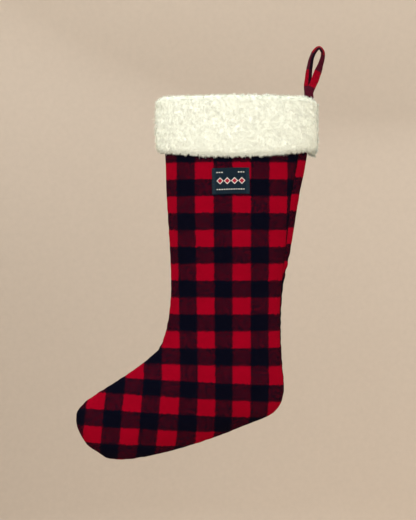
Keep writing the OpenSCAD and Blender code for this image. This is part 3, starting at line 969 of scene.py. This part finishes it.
def strip_material():
    """Red and maroon bands that follow the strip's length, with painted shade darkening one edge of its rear
    leg.
    """
    g = Graph("loop_plaid_wool")
    cloth = g.attribute("cloth")
    across, run, side = g.split(cloth)[:3]
    place = g.math("MULTIPLY_ADD", g.math("LESS_THAN", side, 0.0001), -REAR_SHIFT, across)
    drift = g.math("SUBTRACT", g.noise(cloth, 0.5, 3.0), 0.5)
    at = g.math("MULTIPLY_ADD", drift, 2.4, run)
    band = g.math("FRACT", g.math("DIVIDE", g.math("ADD", at, LOOP_CHECK_START), 2 * LOOP_CHECK))
    off = g.math("ABSOLUTE", g.math("SUBTRACT", band, 0.75))
    weft = g.range(off, 0.235, 0.265, 1.0, 0.0)
    warp_up = twill(g, across, run)[-1]
    # painted shade: the colour turns black along the edge that faces the eye, as far as the front leg
    edge = g.range(g.math("MULTIPLY_ADD", drift, 3.0, place), 0.2, 1.6)
    edge = g.math("MULTIPLY", edge, g.range(run, 84.0, 72.0))
    red = g.math("MULTIPLY_ADD", edge, -0.93, 1.0)
    fuzz = g.noise(cloth, 1.6, 4.0, 0.7)
    level = g.math("MULTIPLY_ADD", fuzz, 0.4, 0.72)
    streak = g.noise(g.join(g.math("MULTIPLY", across, 1.1), g.math("MULTIPLY", run, 0.3)), 1.0, 2.0)
    level = g.math("MULTIPLY", level, g.range(streak, 0.3, 0.7, 0.65, 1.35, soft=False))
    maroon = (0.062, 0.0045, 0.0145, 1)
    colour = g.mix(red, BLACK, g.mix(weft, maroon, RED))
    colour = g.times(colour, level)
    g.bump(g.math("MULTIPLY_ADD", warp_up, 0.4, fuzz), 0.0003, 0.6)
    rough = g.range(fuzz, 0.3, 0.7, 0.86, 0.98)
    return g.finish(colour, rough, 0.05, sheen=0.03, sheen_tint=(0.5, 0.1, 0.15), sheen_rough=0.6)


strip.data.materials.append(strip_material())
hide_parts("hanging_loop", "loop_ends")
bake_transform(strip)

# ---------------------------------------------------------------- label

LABEL_W, LABEL_H, LABEL_T = 50, 35, 0.9
LABEL_MIDDLE = ((label_low + label_high) / 2)[[0, 2]]
LABEL_LEAN = math.radians(1)
# Pitch of the label's threads and of its diamonds, and how far its dashes are from the middle
LABEL_RIB = 0.42
DIAMOND = 9.6
DASHES_AT = 11.2


def build_label():
    """Woven label with its two side hems folded under, so that they lie a little proud."""
    cols, rows = 120, 70
    u = np.linspace(-LABEL_W / 2, LABEL_W / 2, cols + 1)[None, :]
    v = np.linspace(LABEL_H / 2, -LABEL_H / 2, rows + 1)[:, None]
    u, v = u + 0 * v, v + 0 * u
    wavy = 0.16 * np.sin(v / 2.4) * smooth(4, 0, LABEL_W / 2 - np.abs(u))
    u_bent = u * (1 + 0.004 * np.cos(v / 9)) + wavy
    v_bent = v + 0.25 * np.sin(u / 8 + 1) * np.abs(v) / (LABEL_H / 2)
    hem = smooth(5.2, 4.4, LABEL_W / 2 - np.abs(u))
    rounded = smooth(0, 0.7, LABEL_W / 2 - np.abs(u)) * smooth(0, 0.5, LABEL_H / 2 - np.abs(v))
    stitched = np.exp(-(((LABEL_W / 2 - np.abs(u) - 1.8) / 0.8) ** 2))
    top = 0.3 + (LABEL_T - 0.25) * (0.35 + 0.65 * rounded) + 0.3 * hem - 0.25 * stitched
    top = top + 0.14 * waves(np.stack([u, v], -1), 61, 15)

    def lay(lift):
        """The label's points, turned to its lean and lifted from the leg."""
        x = LABEL_MIDDLE[0] + u_bent * math.cos(LABEL_LEAN) - v_bent * math.sin(LABEL_LEAN)
        z = LABEL_MIDDLE[1] + u_bent * math.sin(LABEL_LEAN) + v_bent * math.cos(LABEL_LEAN)
        return leg_front(x, z, lift)

    faces_up, faces_down = lay(top), lay(0 * top + 0.3)
    rings = np.concatenate([faces_up, faces_down[:, ::-1]], 1)
    label = skin("woven_label", rings)
    flat = np.stack([u, v, hem], -1)
    store(label, "cloth", np.concatenate([flat, flat[:, ::-1]], 1))
    return label


def label_material():
    """Navy satin weave with a generic band of diamonds and short dashes in cream and red."""
    g = Graph("navy_woven_label")
    cloth = g.attribute("cloth")
    u, v, hem = g.split(cloth)[:3]
    rib_no = g.math("FLOOR", g.math("DIVIDE", v, LABEL_RIB))
    pick_no = g.math("FLOOR", g.math("DIVIDE", u, LABEL_RIB))
    x, y = g.math("MULTIPLY", pick_no, LABEL_RIB), g.math("MULTIPLY", rib_no, LABEL_RIB)
    # four diamonds in a row
    cell = g.math("SUBTRACT", g.math("FRACT", g.math("DIVIDE", x, DIAMOND)), 0.5)
    reach = g.math("ADD", g.math("ABSOLUTE", g.math("MULTIPLY", cell, DIAMOND)), g.math("ABSOLUTE", y))
    inner = g.math("LESS_THAN", reach, 3.3)
    rim = g.math("SUBTRACT", g.math("LESS_THAN", reach, 4.5), inner)
    within = g.math("LESS_THAN", g.math("ABSOLUTE", x), 2 * DIAMOND)
    # short dashes below them, and above them near the corners only
    off_row = g.math("SUBTRACT", g.math("ABSOLUTE", y), DASHES_AT)
    dash_row = g.math("LESS_THAN", g.math("ABSOLUTE", off_row), 0.65)
    corner = g.math("GREATER_THAN", g.math("ABSOLUTE", x), DIAMOND)
    shown = g.math("MAXIMUM", corner, g.math("LESS_THAN", y, 0.0))
    dash = g.math("LESS_THAN", g.math("FRACT", g.math("DIVIDE", x, DIAMOND / 3)), 0.6)
    dashes = g.math("MULTIPLY", g.math("MULTIPLY", dash_row, dash), shown)
    cream = g.math("MULTIPLY", g.math("MAXIMUM", rim, dashes), within)
    red = g.math("MULTIPLY", inner, within)
    tone = g.math("MULTIPLY_ADD", g.random(g.join(pick_no, rib_no)), 0.5, 0.75)
    ground = g.mix(hem, (0.0045, 0.0125, 0.022, 1), (0.008, 0.020, 0.032, 1))
    colour = g.mix(red, g.mix(cream, ground, (0.62, 0.62, 0.58, 1)), (0.30, 0.012, 0.03, 1))
    rib = g.math("SUBTRACT", g.math("FRACT", g.math("DIVIDE", v, LABEL_RIB)), 0.5)
    pick = g.math("SUBTRACT", g.math("FRACT", g.math("DIVIDE", u, LABEL_RIB)), 0.5)
    crown = g.math("ADD", g.math("MULTIPLY", rib, rib), g.math("MULTIPLY", pick, pick))
    g.bump(g.math("SUBTRACT", g.math("MULTIPLY", cream, 0.3), crown), 0.00012, 0.6)
    return g.finish(g.times(colour, tone), g.range(tone, 0.7, 1.3, 0.7, 0.85), 0.08)


label = build_label()
label.data.materials.append(label_material())
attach(label, "stocking")
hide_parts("label")

# ---------------------------------------------------------------- threads kept from the CAD

DARK_THREADS = ("side_seam_thread", "overlock_thread", "label_thread", "loop_tack_thread", "loop_edge_thread")
CREAM_THREADS = ("cuff_seam_thread", "cuff_join_thread")
for nodes, yarn_material in (
    (DARK_THREADS, yarn("dark_sewing_thread", (0.010, 0.011, 0.016))),
    (CREAM_THREADS, yarn("cream_sewing_thread", (0.78, 0.73, 0.55))),
):
    for node in nodes:
        thread = bpy.data.objects[node]
        for slot in thread.material_slots:
            slot.material = yarn_material

# ---------------------------------------------------------------- stage, light and camera

STAGE_RADIUS = 2.7
STAGE_WALL = 4.4
STAGE_COVE = 0.5
FLOOR_BELOW = 1.1
LENS_MM, SENSOR_MM = 85, 36
# What the camera looks at, and the height that it sees there
VIEW_MIDDLE = (-0.14985, -0.2835)
VIEW_HEIGHT = 0.7027


def build_stage():
    """A round, pale studio: a floor that curves up into a wall all round."""
    floor = cad_box[0][2] - FLOOR_BELOW
    flat, bends, turns = STAGE_RADIUS - STAGE_COVE, 12, 96
    profile = [(0, floor), (flat, floor)]
    for k in range(1, bends + 1):
        angle = math.pi / 2 * k / bends
        profile.append((flat + STAGE_COVE * math.sin(angle), floor + STAGE_COVE * (1 - math.cos(angle))))
    profile.append((STAGE_RADIUS, floor + STAGE_WALL))
    middle = (cad_box[0][0] + cad_box[1][0]) / 2
    points = [
        (middle + r * math.cos(2 * math.pi * k / turns), r * math.sin(2 * math.pi * k / turns), z)
        for r, z in profile for k in range(turns)
    ]
    stage = make_mesh("studio", np.array(points) / MM, grid_faces(len(profile), turns, wrap_cols=True))
    g = Graph("studio_paper")
    place = g.object_coords()
    at = g.split(place)
    # painted light on the paper: brighter towards the top and bottom and to the right, darker in the lower
    # left corner, with fine noise
    across = g.range(at[0], -0.9, 0.6, -1.0, 1.0, soft=False)
    up = g.range(at[2], -1.2, 0.64, -1.0, 1.0, soft=False)
    left, low = g.range(at[0], 0.6, -0.9, soft=False), g.range(at[2], 0.64, -1.2, soft=False)
    corner = g.math("MULTIPLY", left, low)
    light = g.math("MULTIPLY_ADD", g.math("MULTIPLY", up, up), 0.10, 1.01)
    light = g.math("MULTIPLY_ADD", across, 0.03, light)
    light = g.math("MULTIPLY_ADD", corner, -0.13, light)
    light = g.math("MULTIPLY_ADD", g.math("SUBTRACT", g.noise(place, 60.0, 3.0), 0.5), 0.10, light)
    grain = g.noise(place, 1.3, 2.0)
    paper = g.mix(grain, (0.53, 0.460, 0.387, 1), (0.56, 0.490, 0.418, 1))
    g.finish(g.times(paper, light), 1.0, 0.0)
    stage.data.materials.append(g.material)


def build_camera():
    """The camera faces the stocking's front, level with its middle."""
    distance = VIEW_HEIGHT * LENS_MM / SENSOR_MM
    data = bpy.data.cameras.new("camera")
    data.lens = LENS_MM
    data.sensor_width = SENSOR_MM
    camera = bpy.data.objects.new("camera", data)
    camera.location = (VIEW_MIDDLE[0], -distance, VIEW_MIDDLE[1])
    camera.rotation_euler = (math.pi / 2, 0, 0)
    bpy.context.scene.collection.objects.link(camera)
    bpy.context.scene.camera = camera


def area_light(name, place, target, size, power):
    """A round soft light at a place, facing a target, with its size across in metres."""
    data = bpy.data.lights.new(name, "AREA")
    data.shape = "DISK"
    data.size = size
    data.energy = power
    lamp = bpy.data.objects.new(name, data)
    lamp.location = place
    lamp.rotation_euler = (Vector(target) - Vector(place)).to_track_quat("-Z", "Y").to_euler()
    bpy.context.scene.collection.objects.link(lamp)


def build_lights():
    """Light from all round, with a soft key from the left and a wash on the back of the stage."""
    world = bpy.data.worlds.new("studio_air")
    world.use_nodes = True
    world.node_tree.nodes["Background"].inputs["Color"].default_value = (0.96, 1, 1, 1)
    world.node_tree.nodes["Background"].inputs["Strength"].default_value = 1.50
    bpy.context.scene.world = world
    middle = (-0.15, 0, -0.28)
    area_light("key", (-1.3, -1.9, 0.9), middle, 1.6, 42)
    area_light("fill", (1.5, -1.8, 0.2), middle, 1.6, 17)
    area_light("back_wash", (0.3, 1.9, 1.2), middle, 1.8, 38)


build_stage()
build_camera()
build_lights()
bpy.context.scene.view_settings.view_transform = "Standard"
